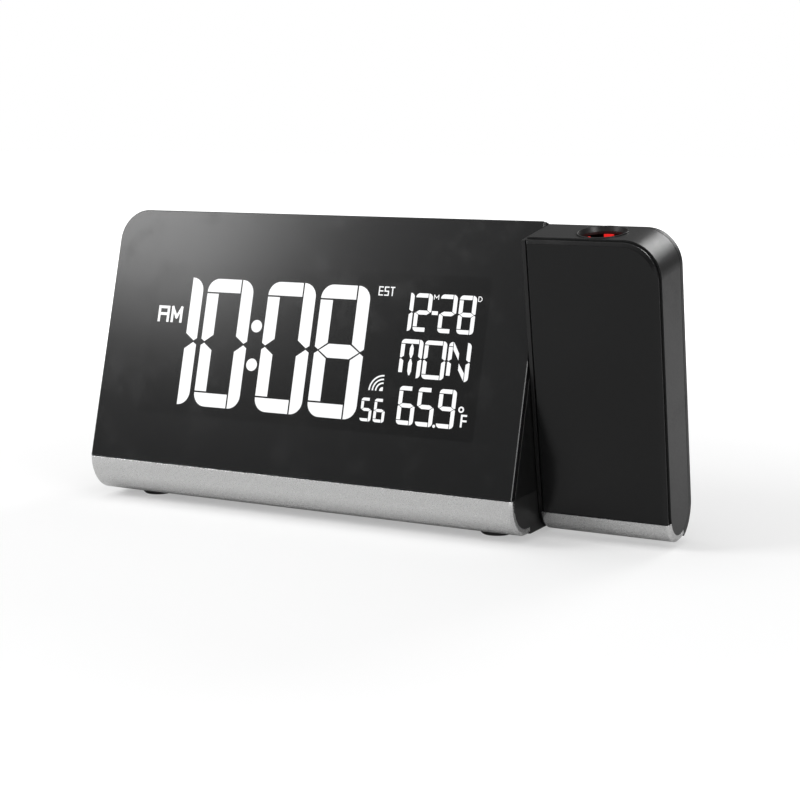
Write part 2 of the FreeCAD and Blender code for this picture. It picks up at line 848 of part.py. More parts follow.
def arm_front_panel():
    front = -half_depth
    edge_back = front + panel_edge * 0.6
    plate = front_shape(panel_corners(panel_inset), edge_back, front + panel_thickness)
    outer = rounded_face(panel_corners(panel_inset), lambda a, b: Vector(a, edge_back, b))
    inner = rounded_face(panel_corners(panel_inset + panel_edge), lambda a, b: Vector(a, front, b))
    plate = plate.fuse(bevel_between(inner, outer))
    inset = wall + 0.2
    low = -arm_band_top + 4.0
    tongue = [
        (inset, low, 1.0),
        (inset, arm_above - inset, 1.0),
        (arm_width - inset, arm_above - inset, arm_corner - inset),
        (arm_width - inset, low, 1.0),
    ]
    tongue = front_shape(tongue, front + panel_thickness, shell_front + 0.4)
    middle = arm_width / 2
    tongue = tongue.cut(block(middle - 9, middle + 9, -half_depth, 0, arm_above - 4, arm_above))
    return plate.fuse(tongue)


def arm_band():
    flat_end = arm_width - bevel
    outer = side_shape(arm_profile(0), 0, flat_end)
    wide = rounded_face(arm_profile(0), lambda a, b: Vector(flat_end, a, b))
    narrow = rounded_face(arm_profile(bevel), lambda a, b: Vector(arm_width, a, b))
    outer = outer.fuse(bevel_between(wide, narrow))
    inner = side_shape(arm_profile(band_thickness), -1, arm_width + 1)
    keep = block(-1, arm_width + 1, -half_depth - 1, arm_band_rear, -arm_below - 1, -arm_band_top)
    return outer.cut(inner).common(keep)


def arm_housing():
    lower = band_thickness + glue_gap
    front = -half_depth + lower
    step = round_centre + 0.1
    profile = [
        (shell_front, arm_above, 0),
        (shell_back, arm_above, 0),
        (shell_back, -arm_below + lower, shell_back - 0.02),
        (front, -arm_below + lower, -front - 0.02),
        (front, step, 0),
        (shell_front, step, 0),
    ]
    body = side_shape(profile, 0, arm_width)
    body = body.common(front_shape(arm_outline(0), -half_depth - 1, half_depth + 1))
    hollow = front_shape(
        [
            (wall, -arm_floor, 1.0),
            (wall, arm_above - wall, 1.0),
            (arm_width - wall, arm_above - wall, arm_corner - wall),
            (arm_width - wall, -arm_floor, 1.0),
        ],
        -half_depth - 1,
        half_depth + 1,
    )
    body = body.cut(hollow)
    middle = arm_width / 2
    body = body.cut(rod(rim_radius + 0.05, (middle, 0, arm_above - wall - 1), (middle, 0, arm_above + 1)))
    body = body.cut(rod(shaft_radius + running_gap, (-1, 0, 0), (wall + 1, 0, 0)))
    for x, z in arm_screws_at():
        side = 0.5 if x < middle else arm_width - 0.5
        arm_boss = rod(2.4, (x, shell_back - 8, z), (x, shell_back, z))
        rib = block(min(side, x), max(side, x), shell_back - 8, shell_back, z - 0.8, z + 0.8)
        body = body.fuse(arm_boss).fuse(rib)
        body = body.cut(rod(arm_screw_radius, (x, shell_back - 7, z), (x, shell_back + 1, z)))
    return body.removeSplitter()


def arm_screws_at():
    return [(5.0, -41.0), (arm_width - 5.0, -41.0), (5.0, 33.0), (arm_width - 5.0, 27.0)]


def arm_rear_cover():
    front, rear = half_depth - cover_thickness, half_depth + 1
    plate = arm_envelope().common(block(-1, arm_width + 1, front, rear, -arm_below - 1, arm_above + 1))
    lip = arm_envelope().cut(side_shape(arm_profile(band_thickness), -1, arm_width + 1))
    lip_front = arm_band_rear + 0.15
    lip = lip.common(block(-1, arm_width + 1, lip_front, half_depth, -arm_below - 1, round_centre + 6))
    cover = plate.fuse(lip)
    seat = half_depth - arm_screw_sink
    for x, z in arm_screws_at():
        hole_start = half_depth - cover_thickness - 1
        cover = cover.cut(rod(arm_screw_radius + 0.2, (x, hole_start, z), (x, half_depth + 1, z)))
        cover = cover.cut(rod(arm_screw_head_radius + 0.2, (x, seat, z), (x, half_depth + 1, z)))
    return cover.removeSplitter()


def arm_screws():
    screws = []
    for x, z in arm_screws_at():
        seat = half_depth - arm_screw_sink
        shank = rod(arm_screw_radius - screw_gap, (x, shell_back - 6.5, z), (x, seat, z))
        head = rod(arm_screw_head_radius, (x, seat, z), (x, seat + arm_screw_head_height, z))
        screws.append(shank.fuse(head))
    return together(screws)


def arm_inner_cap():
    cap = side_shape(arm_profile(cap_inset), -cap_thickness, 0)
    return cap.cut(rod(shaft_radius + running_gap, (-cap_thickness - 1, 0, 0), (1, 0, 0)))


def pivot_x():
    """How far left of the arm the boss, the washer and the clip lie along the pivot."""
    side = -cap_thickness - arm_running_gap
    boss_end = side - wall - pivot_boss_length
    washer_end = boss_end - 0.1 - washer_thickness
    clip_end = washer_end - 0.1 - clip_thickness
    return boss_end, washer_end, clip_end


def pivot_shaft():
    boss_end, washer_end, clip_end = pivot_x()
    end = clip_end - shaft_end
    shaft = rod(shaft_radius, (end, 0, 0), (wall, 0, 0))
    shaft = shaft.fuse(rod(shaft_flange_radius, (wall, 0, 0), (wall + shaft_flange_thickness, 0, 0)))
    shaft = shaft.cut(rod(shaft_bore_radius, (end - 1, 0, 0), (wall + shaft_flange_thickness + 1, 0, 0)))
    groove_ends = ((clip_end - 0.05, 0, 0), (washer_end - 0.05, 0, 0))
    groove_ring = tube(shaft_radius + 1, shaft_radius - clip_groove_depth, *groove_ends)
    return shaft.cut(groove_ring)


def pivot_washer():
    boss_end, washer_end, clip_end = pivot_x()
    outer, inner = pivot_boss_radius - 0.2, shaft_radius + running_gap
    return tube(outer, inner, (washer_end, 0, 0), (boss_end - 0.05, 0, 0))


def pivot_clip():
    boss_end, washer_end, clip_end = pivot_x()
    mouth = shaft_radius - clip_groove_depth
    clip_far = clip_end + clip_thickness
    clip = tube(pivot_boss_radius - 0.4, mouth + 0.05, (clip_end, 0, 0), (clip_far, 0, 0))
    return clip.cut(block(clip_end - 1, clip_far + 1, -mouth * 0.7, mouth * 0.7, 0, pivot_boss_radius))


def arm_cable():
    """The lead from the slab to the arm, straight through the hollow shaft and then down to its socket."""
    boss_end, washer_end, clip_end = pivot_x()
    start = Vector(clip_end - shaft_end, 0, 0)
    turn_start = Vector(wall + shaft_flange_thickness + 2.0, 0, 0)
    part_way = cable_bend * math.sin(math.pi / 4)
    bend = Vector(turn_start.x + part_way, 0, part_way - cable_bend)
    turn_end = Vector(turn_start.x + cable_bend, 0, -cable_bend)
    end = Vector(turn_end.x, 0, -cable_bend - 6.0)
    path = Part.Wire([
        Part.LineSegment(start, turn_start).toShape(),
        Part.Arc(turn_start, bend, turn_end).toShape(),
        Part.LineSegment(turn_end, end).toShape(),
    ])
    ring = Part.Wire([Part.makeCircle(cable_radius, start, Vector(1, 0, 0))])
    return path.makePipeShell([ring], True, True)


def arm_socket():
    x = wall + shaft_flange_thickness + 2.0 + cable_bend
    low = -cable_bend - 13.0
    return block(x - 3.0, x + 3.0, -arm_board_back, arm_board_back, low, low + 7.0)


def arm_board():
    rear = arm_board_back + board_thickness
    plate = block(4.0, arm_width - 4.0, arm_board_back, rear, arm_board_low, arm_board_high)
    driver = block(22, 30, arm_board_back - 1.6, arm_board_back, -26, -16)
    return plate.fuse(driver)


def lens_rim():
    middle = arm_width / 2
    top = arm_above + rim_lip
    ring = tube(rim_radius, aperture_radius, (middle, 0, arm_above - rim_height), (middle, 0, top))
    bowl_foot = Vector(middle, 0, arm_above - 1.2)
    bowl = Part.makeCone(aperture_radius, rim_radius - 0.4, rim_lip + 1.2, bowl_foot, Vector(0, 0, 1))
    return ring.cut(bowl)


def focus_ring():
    middle = arm_width / 2
    top = arm_above - ring_depth
    ring = tube(ring_radius, barrel_radius + running_gap, (middle, 0, top - ring_height), (middle, 0, top))
    for i in range(ring_flutes):
        turn = math.radians(360.0 * i / ring_flutes)
        x, y = middle + ring_radius * math.cos(turn), ring_radius * math.sin(turn)
        ring = ring.cut(rod(flute_radius, (x, y, top - ring_height - 1), (x, y, top + 1)))
    return ring


def lens_barrel():
    middle = arm_width / 2
    top = arm_above - barrel_depth - lens_travel
    return tube(barrel_radius, barrel_bore, (middle, 0, top - barrel_length), (middle, 0, top))


def lens_retainer():
    middle = arm_width / 2
    low = arm_above - barrel_depth - lens_travel
    return tube(barrel_radius - 0.1, barrel_bore - 0.5, (middle, 0, low), (middle, 0, low + retainer_height))


def round_lens(radius, edge, bulge_low, bulge_high, level):
    """A lens on the upright axis: a rim of height edge with a dome on either side."""
    middle = arm_width / 2

    def cap(height, way):
        sphere_radius = (radius * radius + height * height) / (2 * height)
        start = level + edge if way > 0 else level
        centre = Vector(middle, 0, start + way * (height - sphere_radius))
        ball = Part.makeSphere(sphere_radius, centre)
        slab = rod(radius, (middle, 0, start), (middle, 0, start + way * height))
        return ball.common(slab)

    lens = rod(radius, (middle, 0, level), (middle, 0, level + edge))
    if bulge_high > 0:
        lens = lens.fuse(cap(bulge_high, 1))
    if bulge_low > 0:
        lens = lens.fuse(cap(bulge_low, -1))
    return lens.removeSplitter()


def projection_lens():
    top = arm_above - barrel_depth - lens_travel
    return round_lens(barrel_bore - running_gap, 1.2, 0.5, 0.9, top - 2.4)


def rear_lens():
    low = arm_above - barrel_depth - lens_travel - barrel_length
    return round_lens(barrel_bore - running_gap, 1.0, 0, 0.8, low + 0.6)


def projector_tube():
    middle = arm_width / 2
    top = arm_above - ring_depth - ring_height - 0.3
    outer = front_shape(
        [
            (middle - tube_half, tube_low, 1.0),
            (middle - tube_half, top, 1.0),
            (middle + tube_half, top, 1.0),
            (middle + tube_half, tube_low, 1.0),
        ],
        shell_front + 0.6,
        shell_back - 0.4,
    )
    outer = outer.cut(rod(barrel_radius + running_gap, (middle, 0, chamber_high), (middle, 0, top + 1)))
    left, right = middle - chamber_half, middle + chamber_half
    chamber = block(left, right, -chamber_half, chamber_half, chamber_low, chamber_high + 0.5)
    outer = outer.cut(chamber)
    return outer.cut(block(middle - 3, middle + 3, -3, 3, tube_low - 1, chamber_low + 1))


def image_mask():
    middle = arm_width / 2
    half = chamber_half - 0.1
    return block(middle - half, middle + half, -half, half, mask_level, mask_level + mask_thickness)


def condenser_lens():
    return round_lens(condenser_radius, 1.0, 0, 1.6, condenser_level)


def lens_seat():
    """A square plate with a round hole that holds the condenser in the chamber."""
    middle = arm_width / 2
    half = chamber_half - 0.1
    plate = block(middle - half, middle + half, -half, half, condenser_level - 1.0, condenser_level)
    hole_ends = ((middle, 0, condenser_level - 2), (middle, 0, condenser_level + 1))
    return plate.cut(rod(condenser_radius - 0.8, *hole_ends))


def emitter():
    middle = arm_width / 2
    low = chamber_low + emitter_board_thickness
    top = low + emitter_height
    base = rod(emitter_radius + 0.4, (middle, 0, low), (middle, 0, low + 0.6))
    stem = rod(emitter_radius, (middle, 0, low + 0.6), (middle, 0, top))
    dome = Part.makeSphere(emitter_radius, Vector(middle, 0, top))
    dome = dome.common(block(middle - 3, middle + 3, -3, 3, top, top + 8))
    return base.fuse(stem).fuse(dome)


def emitter_board():
    middle = arm_width / 2
    half = chamber_half - 0.1
    top = chamber_low + emitter_board_thickness
    return block(middle - half, middle + half, -half, half, chamber_low, top)


slab_pieces = {
    "front_lens": front_lens,
    "front_frame": front_frame,
    "lcd_panel": lcd_panel,
    "light_guide": light_guide,
    "light_reflector": light_reflector,
    "contact_strip": contact_strip,
    "main_board": main_board,
    "board_screws": board_screws,
    "key_switches": key_switches,
    "board_parts": board_parts,
    "snooze_bar": snooze_bar,
    "rear_housing": rear_housing,
    "case_screws": case_screws,
}
base_pieces = {
    "base_band": base_band,
    "base_housing": base_housing,
    "base_screws": base_screws,
    "rubber_feet": rubber_feet,
    "battery_door": battery_door,
    "backup_cells": backup_cells,
    "bay_contacts": bay_contacts,
    "power_jack": power_jack,
    "sounder": sounder,
    "radio_rod": radio_rod,
    "radio_coil": radio_coil,
    "heat_sensor": heat_sensor,
}
arm_pieces = {
    "arm_front_panel": arm_front_panel,
    "arm_band": arm_band,
    "arm_housing": arm_housing,
    "arm_rear_cover": arm_rear_cover,
    "arm_screws": arm_screws,
    "arm_inner_cap": arm_inner_cap,
    "pivot_shaft": pivot_shaft,
    "pivot_washer": pivot_washer,
    "pivot_clip": pivot_clip,
    "arm_cable": arm_cable,
    "arm_socket": arm_socket,
    "arm_board": arm_board,
    "lens_rim": lens_rim,
    "focus_ring": focus_ring,
    "lens_barrel": lens_barrel,
    "lens_retainer": lens_retainer,
    "projection_lens": projection_lens,
    "rear_lens": rear_lens,
    "projector_tube": projector_tube,
    "image_mask": image_mask,
    "condenser_lens": condenser_lens,
    "lens_seat": lens_seat,
    "emitter": emitter,
    "emitter_board": emitter_board,
}

for name, make in slab_pieces.items():
    save(name, on_slab(make()))
for name, x in zip(button_names, button_places()):
    save(name, on_slab(button_cap(x)))
for name, make in base_pieces.items():
    save(name, on_base(make()))
for name, make in arm_pieces.items():
    save(name, on_arm(make()))

hinge_back, hinge_level = door_hinge()
pivot_y, pivot_z = pivot_place()
print("pivot", -centre_x + arm_left, -centre_y + pivot_y, glass_foot + pivot_z)
print("lens axis x", -centre_x + arm_left + arm_width / 2)
print("door hinge", -centre_y + hinge_back, glass_foot + hinge_level)
print("centre", centre_x, centre_y, "glass foot", glass_foot)
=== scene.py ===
import bpy
import math
import numpy as np
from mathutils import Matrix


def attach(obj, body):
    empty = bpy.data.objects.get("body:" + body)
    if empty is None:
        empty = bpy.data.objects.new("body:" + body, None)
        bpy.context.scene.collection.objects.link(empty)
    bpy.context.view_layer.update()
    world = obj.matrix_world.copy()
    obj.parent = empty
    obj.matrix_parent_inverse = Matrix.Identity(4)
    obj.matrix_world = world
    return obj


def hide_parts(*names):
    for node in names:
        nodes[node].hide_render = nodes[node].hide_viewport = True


# A table clock with a leaning display slab, a silver strip round its foot and a swinging lens arm.
# Drawing sizes are in millimetres and become metres when a piece is placed.
MM = 0.001
LEAN = math.radians(15.1)
ARM_TURN = math.radians(10.2)
SLAB_ORIGIN = np.array([-101.75, -23.7, 15.3])
ARM_ORIGIN = np.array([59.95, -2.4237, 54.6149])

# Slab and display: the window's left, right, low and high edges, and how far lit shapes stand out and in
SLAB_DEPTH = 20.6
WINDOW = (17.1, 144.8, 16.8, 68.6)
PRINT_PROUD, PRINT_SUNK = 0.03, 0.05

# Large figures: their foot, size, bar width and the gap between bars, and where each one ends at the right
DIGIT_FOOT, DIGIT_TALL, DIGIT_WIDE, DIGIT_STROKE, DIGIT_GAP = 20.4, 43.6, 18.3, 4.6, 0.55
TIME_FIGURES = (("1", 37.5), ("0", 57.7), ("0", 82.0), ("8", 102.4))
COLON_ACROSS, COLON_LEVELS, COLON_RADIUS = 60.7, (35.7, 48.7), 2.1

# Small figures: height, bar width and gap of all of them, then each row's foot, width and left edges
SMALL_TALL, SMALL_STROKE, SMALL_GAP = 12.3, 1.35, 0.25
DATE_FOOT, DATE_WIDE, DATE_FIGURES = 50.3, 5.9, (("1", 112.5), ("2", 119.0), ("2", 127.8), ("8", 134.5))
DAY_FOOT, DAY_WIDE, DAY_LETTERS = 35.4, 7.8, (("M", 115.8), ("O", 124.2), ("N", 132.7))
HEAT_WIDE, HEAT_FIGURES = 6.0, (("6", 117.2), ("5", 124.0), ("9", 131.4))
SECONDS_TALL, SECONDS_WIDE, SECONDS_FIGURES = 7.6, 4.0, (("5", 104.0), ("6", 108.8))
SECONDS_STROKE, SECONDS_GAP = 0.95, 0.2

# Reception mark: its corner, the radii of its arcs and their width
SIGNAL_CORNER, SIGNAL_DOT, SIGNAL_RADII, SIGNAL_STROKE = (111.1, 30.5), 1.3, (2.3, 3.5, 4.7), 0.5

# Four red lugs round the projector's lens: half their width in degrees, radii, and heights from the pivot
ARM_MIDDLE = 21.0
LUG_HALF, LUG_INNER, LUG_OUTER, LUG_LOW, LUG_HIGH = 17.5, 4.65, 5.4, 39.2, 41.25

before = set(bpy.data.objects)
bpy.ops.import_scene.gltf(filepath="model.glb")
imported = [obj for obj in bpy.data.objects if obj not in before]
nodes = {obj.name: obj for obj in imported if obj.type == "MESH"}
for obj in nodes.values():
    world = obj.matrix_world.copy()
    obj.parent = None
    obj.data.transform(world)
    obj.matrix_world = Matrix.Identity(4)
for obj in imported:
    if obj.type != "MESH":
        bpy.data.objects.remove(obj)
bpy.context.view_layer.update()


# Placing

def turned(points, origin, angle):
    """Points in a leaning frame, turned about the width by angle and moved to origin, in metres."""
    x, y, z = points[:, 0], points[:, 1], points[:, 2]
    c, s = math.cos(angle), math.sin(angle)
    return (np.stack([x, y * c - z * s, y * s + z * c], axis=1) + origin) * MM


def on_slab(points):
    """Slab points: across from the lens's left edge, back from its face, up along it."""
    return turned(points, SLAB_ORIGIN, -LEAN)


def on_base(points):
    """Base points: level, measured from the foot of the lens."""
    return turned(points, SLAB_ORIGIN, 0.0)


def on_arm(points):
    """Arm points: measured from the pivot on the arm's left side."""
    return turned(points, ARM_ORIGIN, ARM_TURN)


def add_piece(name, points, faces, body, material):
    """A mesh piece from placed points and faces, riding on a CAD body."""
    mesh = bpy.data.meshes.new(name)
    mesh.from_pydata(points.tolist(), [], faces)
    mesh.materials.append(material)
    mesh.update()
    piece = bpy.data.objects.new(name, mesh)
    bpy.context.scene.collection.objects.link(piece)
    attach(piece, body)
    return piece


# Shader groups shared by the finishes

def group_start(name, inputs, outputs):
    """An empty shader group with number or vector inputs and its outputs."""
    group = bpy.data.node_groups.new(name, "ShaderNodeTree")
    for label, kind in inputs:
        group.interface.new_socket(name=label, in_out="INPUT", socket_type="NodeSocket" + kind)
    for label, kind in outputs:
        group.interface.new_socket(name=label, in_out="OUTPUT", socket_type="NodeSocket" + kind)
    return group, group.nodes.new("NodeGroupInput"), group.nodes.new("NodeGroupOutput")


def arithmetic(tree, operation, first, second=0.0):
    """A Math node on one or two sockets or numbers."""
    node = tree.nodes.new("ShaderNodeMath")
    node.operation = operation
    for socket, value in zip(node.inputs, (first, second)):
        if isinstance(value, (int, float)):
            socket.default_value = value
        else:
            tree.links.new(value, socket)
    return node.outputs[0]


def ramp(tree, value, low, high, to_low=0.0, to_high=1.0):
    """A smooth step of a value from one range into another."""
    node = tree.nodes.new("ShaderNodeMapRange")
    node.interpolation_type = "SMOOTHSTEP"
    tree.links.new(value, node.inputs["Value"])
    for label, number in (("From Min", low), ("From Max", high), ("To Min", to_low), ("To Max", to_high)):
        if isinstance(number, (int, float)):
            node.inputs[label].default_value = number
        else:
            tree.links.new(number, node.inputs[label])
    return node.outputs["Result"]


def make_grain():
    """Moulded texture: noise and pits added as height, a slow cloud as tone and a faster one as wear."""
    group, given, result = group_start(
        "moulded grain",
        (("Vector", "Vector"), ("Scale", "Float")),
        (("Height", "Float"), ("Tone", "Float"), ("Wear", "Float")),
    )
    fine = group.nodes.new("ShaderNodeTexNoise")
    fine.inputs["Detail"].default_value = 3.0
    group.links.new(given.outputs["Vector"], fine.inputs["Vector"])
    group.links.new(given.outputs["Scale"], fine.inputs["Scale"])
    pits = group.nodes.new("ShaderNodeTexVoronoi")
    group.links.new(given.outputs["Vector"], pits.inputs["Vector"])
    group.links.new(arithmetic(group, "MULTIPLY", given.outputs["Scale"], 0.6), pits.inputs["Scale"])
    height = arithmetic(group, "ADD", fine.outputs["Fac"],
                        arithmetic(group, "MULTIPLY", pits.outputs["Distance"], 0.5))
    cloud = group.nodes.new("ShaderNodeTexNoise")
    cloud.inputs["Scale"].default_value = 28.0
    cloud.inputs["Detail"].default_value = 4.0
    group.links.new(given.outputs["Vector"], cloud.inputs["Vector"])
    wear = group.nodes.new("ShaderNodeTexNoise")
    wear.inputs["Scale"].default_value = 75.0
    wear.inputs["Detail"].default_value = 6.0
    wear.inputs["Roughness"].default_value = 0.7
    group.links.new(given.outputs["Vector"], wear.inputs["Vector"])
    group.links.new(height, result.inputs["Height"])
    group.links.new(ramp(group, cloud.outputs["Fac"], 0.3, 0.7), result.inputs["Tone"])
    group.links.new(ramp(group, wear.outputs["Fac"], 0.45, 0.75), result.inputs["Wear"])
    return group


def make_flake():
    """Metal paint: small cells of random brightness as tone, and their edges as height."""
    group, given, result = group_start(
        "metal flake", (("Vector", "Vector"), ("Scale", "Float")), (("Tone", "Float"), ("Height", "Float"))
    )
    cells = group.nodes.new("ShaderNodeTexVoronoi")
    group.links.new(given.outputs["Vector"], cells.inputs["Vector"])
    group.links.new(given.outputs["Scale"], cells.inputs["Scale"])
    split = group.nodes.new("ShaderNodeSeparateColor")
    group.links.new(cells.outputs["Color"], split.inputs["Color"])
    soft = group.nodes.new("ShaderNodeTexNoise")
    soft.inputs["Detail"].default_value = 2.0
    group.links.new(given.outputs["Vector"], soft.inputs["Vector"])
    group.links.new(arithmetic(group, "MULTIPLY", given.outputs["Scale"], 0.45), soft.inputs["Scale"])
    mixed = arithmetic(group, "ADD", arithmetic(group, "MULTIPLY", split.outputs["Red"], 0.5),
                       arithmetic(group, "MULTIPLY", soft.outputs["Fac"], 0.5))
    group.links.new(mixed, result.inputs["Tone"])
    group.links.new(cells.outputs["Distance"], result.inputs["Height"])
    return group


def make_edge():
    """Soft edge: a normal rounded over a small radius."""
    group, given, result = group_start("soft edge", (("Radius", "Float"),), (("Normal", "Vector"),))
    rounded = group.nodes.new("ShaderNodeBevel")
    rounded.samples = 4
    group.links.new(given.outputs["Radius"], rounded.inputs["Radius"])
    group.links.new(rounded.outputs["Normal"], result.inputs["Normal"])
    return group


def make_window():
    """A soft-edged rectangle on the leaning lens, 1 inside it and 0 outside: the place is turned back
    upright, and a rising and a falling ramp across are multiplied by the same two ramps upwards."""
    group, given, result = group_start(
        "lens window",
        (("Vector", "Vector"), ("Left", "Float"), ("Right", "Float"), ("Low", "Float"), ("High", "Float"),
         ("Blur", "Float")),
        (("Mask", "Float"),),
    )
    level = group.nodes.new("ShaderNodeMapping")
    level.inputs["Rotation"].default_value = (LEAN, 0.0, 0.0)
    c, s = math.cos(LEAN), math.sin(LEAN)
    x, y, z = SLAB_ORIGIN * MM
    level.inputs["Location"].default_value = (-x, -(y * c - z * s), -(y * s + z * c))
    group.links.new(given.outputs["Vector"], level.inputs["Vector"])
    place = group.nodes.new("ShaderNodeSeparateXYZ")
    group.links.new(level.outputs["Vector"], place.inputs["Vector"])
    blur = given.outputs["Blur"]
    mask = None
    for axis, low, high in (("X", "Left", "Right"), ("Z", "Low", "High")):
        rising = ramp(group, place.outputs[axis], arithmetic(group, "SUBTRACT", given.outputs[low], blur),
                      arithmetic(group, "ADD", given.outputs[low], blur))
        falling = ramp(group, place.outputs[axis], arithmetic(group, "SUBTRACT", given.outputs[high], blur),
                       arithmetic(group, "ADD", given.outputs[high], blur), 1.0, 0.0)
        both = arithmetic(group, "MULTIPLY", rising, falling)
        mask = both if mask is None else arithmetic(group, "MULTIPLY", mask, both)
    group.links.new(mask, result.inputs["Mask"])
    return group


grain_group = make_grain()
flake_group = make_flake()
edge_group = make_edge()
window_group = make_window()


# Finishes

def new_finish(name):
    """A material with its Principled shader and the object's coordinates."""
    material = bpy.data.materials.new(name)
    material.use_nodes = True
    tree = material.node_tree
    coordinates = tree.nodes.new("ShaderNodeTexCoord")
    return material, tree, tree.nodes["Principled BSDF"], coordinates.outputs["Object"]


def use_group(tree, group, vector=None, **values):
    """One of the shared groups placed in a material with its own values."""
    node = tree.nodes.new("ShaderNodeGroup")
    node.node_tree = group
    if vector is not None:
        tree.links.new(vector, node.inputs["Vector"])
    for label, value in values.items():
        node.inputs[label.capitalize()].default_value = value
    return node


def blend_colour(tree, amount, low, high):
    """A colour between two, by a mask."""
    node = tree.nodes.new("ShaderNodeMix")
    node.data_type = "RGBA"
    node.inputs[6].default_value = (*low, 1.0)
    node.inputs[7].default_value = (*high, 1.0)
    tree.links.new(amount, node.inputs["Factor"])
    return node.outputs[2]


def grey(value, warm=0.0):
    """A neutral colour, a little warmer or cooler."""
    return (value * (1 + warm), value, value * (1 - warm))


def uneven_shine(tree, shader, grain, smooth, rough):
    """Roughness between two values, by the grain's wear."""
    tree.links.new(ramp(tree, grain.outputs["Wear"], 0.0, 1.0, smooth, rough), shader.inputs["Roughness"])


def relief(tree, shader, height, depth, edge):
    """Bump from a height, over an edge softened by the given radius."""
    bump = tree.nodes.new("ShaderNodeBump")
    bump.inputs["Distance"].default_value = depth
    bump.inputs["Strength"].default_value = 1.0
    tree.links.new(height, bump.inputs["Height"])
    soft = use_group(tree, edge_group, radius=edge)
    tree.links.new(soft.outputs["Normal"], bump.inputs["Normal"])
    tree.links.new(bump.outputs["Normal"], shader.inputs["Normal"])


def plastic(name, low, high, smooth, rough, scale=2600.0, depth=0.000012, edge=0.00025, shine=0.5):
    """Moulded plastic, rubber or paint: clouded colour, uneven shine, fine grain and soft edges."""
    material, tree, shader, vector = new_finish(name)
    grain = use_group(tree, grain_group, vector, scale=scale)
    tree.links.new(blend_colour(tree, grain.outputs["Tone"], low, high), shader.inputs["Base Color"])
    uneven_shine(tree, shader, grain, smooth, rough)
    shader.inputs["Specular IOR Level"].default_value = shine
    relief(tree, shader, grain.outputs["Height"], depth, edge)
    return material


def flake_paint(name, low, high, smooth, rough, scale=3200.0, depth=0.00001, metal=1.0):
    """Satin metal paint: random flakes change its brightness, shine and relief."""
    material, tree, shader, vector = new_finish(name)
    flake = use_group(tree, flake_group, vector, scale=scale)
    grain = use_group(tree, grain_group, vector, scale=900.0)
    tone = flake.outputs["Tone"]
    tree.links.new(blend_colour(tree, tone, low, high), shader.inputs["Base Color"])
    shine = arithmetic(tree, "ADD", ramp(tree, tone, 0.2, 0.8, smooth, rough),
                       arithmetic(tree, "MULTIPLY", grain.outputs["Wear"], 0.05))
    tree.links.new(shine, shader.inputs["Roughness"])
    shader.inputs["Metallic"].default_value = metal
    relief(tree, shader, flake.outputs["Height"], depth, 0.00015)
    return material


def lens_gloss():
    """The display's gloss black lens: darker over the display's window, with faint dust and wiping marks."""
    material, tree, shader, vector = new_finish("lens gloss")
    left, right, low, high = (value * MM for value in WINDOW)
    window = use_group(tree, window_group, vector, left=left, right=right, low=low, high=high, blur=0.0002)
    grain = use_group(tree, grain_group, vector, scale=1500.0)
    tree.links.new(blend_colour(tree, window.outputs["Mask"], grey(0.0062, -0.03), grey(0.002, -0.06)),
                   shader.inputs["Base Color"])
    uneven_shine(tree, shader, grain, 0.2, 0.25)
    shader.inputs["Specular IOR Level"].default_value = 0.42
    relief(tree, shader, grain.outputs["Tone"], 0.000002, 0.0002)
    return material


def display_white():
    """The lit white segments, a little brighter here than there."""
    material, tree, shader, vector = new_finish("display white")
    grain = use_group(tree, grain_group, vector, scale=700.0)
    glow = blend_colour(tree, grain.outputs["Tone"], grey(0.93, -0.01), grey(1.0))
    tree.links.new(glow, shader.inputs["Emission Color"])
    shader.inputs["Emission Strength"].default_value = 1.0
    shader.inputs["Base Color"].default_value = (*grey(0.05), 1.0)
    uneven_shine(tree, shader, grain, 0.3, 0.4)
    return material


def red_led_and_painted_glow():
    """Red plastic with a painted glow: its emission stands in for the emitter's light shining through the
    retainer. It is brightest, as painted glints, at four places round the lens, where the cosine of four
    times the angle round the lens's axis is high. On the emitter itself the glow is the LED's own light."""
    material, tree, shader, vector = new_finish("red LED and painted glow")
    grain = use_group(tree, grain_group, vector, scale=1200.0)
    tint = blend_colour(tree, grain.outputs["Tone"], (0.3, 0.006, 0.005), (0.42, 0.014, 0.01))
    tree.links.new(tint, shader.inputs["Base Color"])
    place = tree.nodes.new("ShaderNodeSeparateXYZ")
    tree.links.new(vector, place.inputs["Vector"])
    middle = np.array(nodes["lens_retainer"].bound_box).mean(axis=0)
    angle = arithmetic(tree, "ARCTAN2", arithmetic(tree, "SUBTRACT", place.outputs["Y"], float(middle[1])),
                       arithmetic(tree, "SUBTRACT", place.outputs["X"], float(middle[0])))
    # Painted glints: the emission is brightest at four places round the lens, standing in for the emitter's
    # light
    lit = ramp(tree, arithmetic(tree, "COSINE", arithmetic(tree, "MULTIPLY", angle, 4.0)), 0.05, 0.3)
    tree.links.new(blend_colour(tree, lit, (0.04, 0.001, 0.001), (1.0, 0.02, 0.02)),
                   shader.inputs["Emission Color"])
    shader.inputs["Emission Strength"].default_value = 0.55
    uneven_shine(tree, shader, grain, 0.25, 0.4)
    return material


def clear(name, tint, smooth):
    """Clear glass or acrylic with faint smears."""
    material, tree, shader, vector = new_finish(name)
    grain = use_group(tree, grain_group, vector, scale=900.0)
    tree.links.new(blend_colour(tree, grain.outputs["Tone"], tint, grey(0.99)), shader.inputs["Base Color"])
    uneven_shine(tree, shader, grain, smooth, smooth + 0.05)
    shader.inputs["Transmission Weight"].default_value = 1.0
    shader.inputs["IOR"].default_value = 1.5
    return material


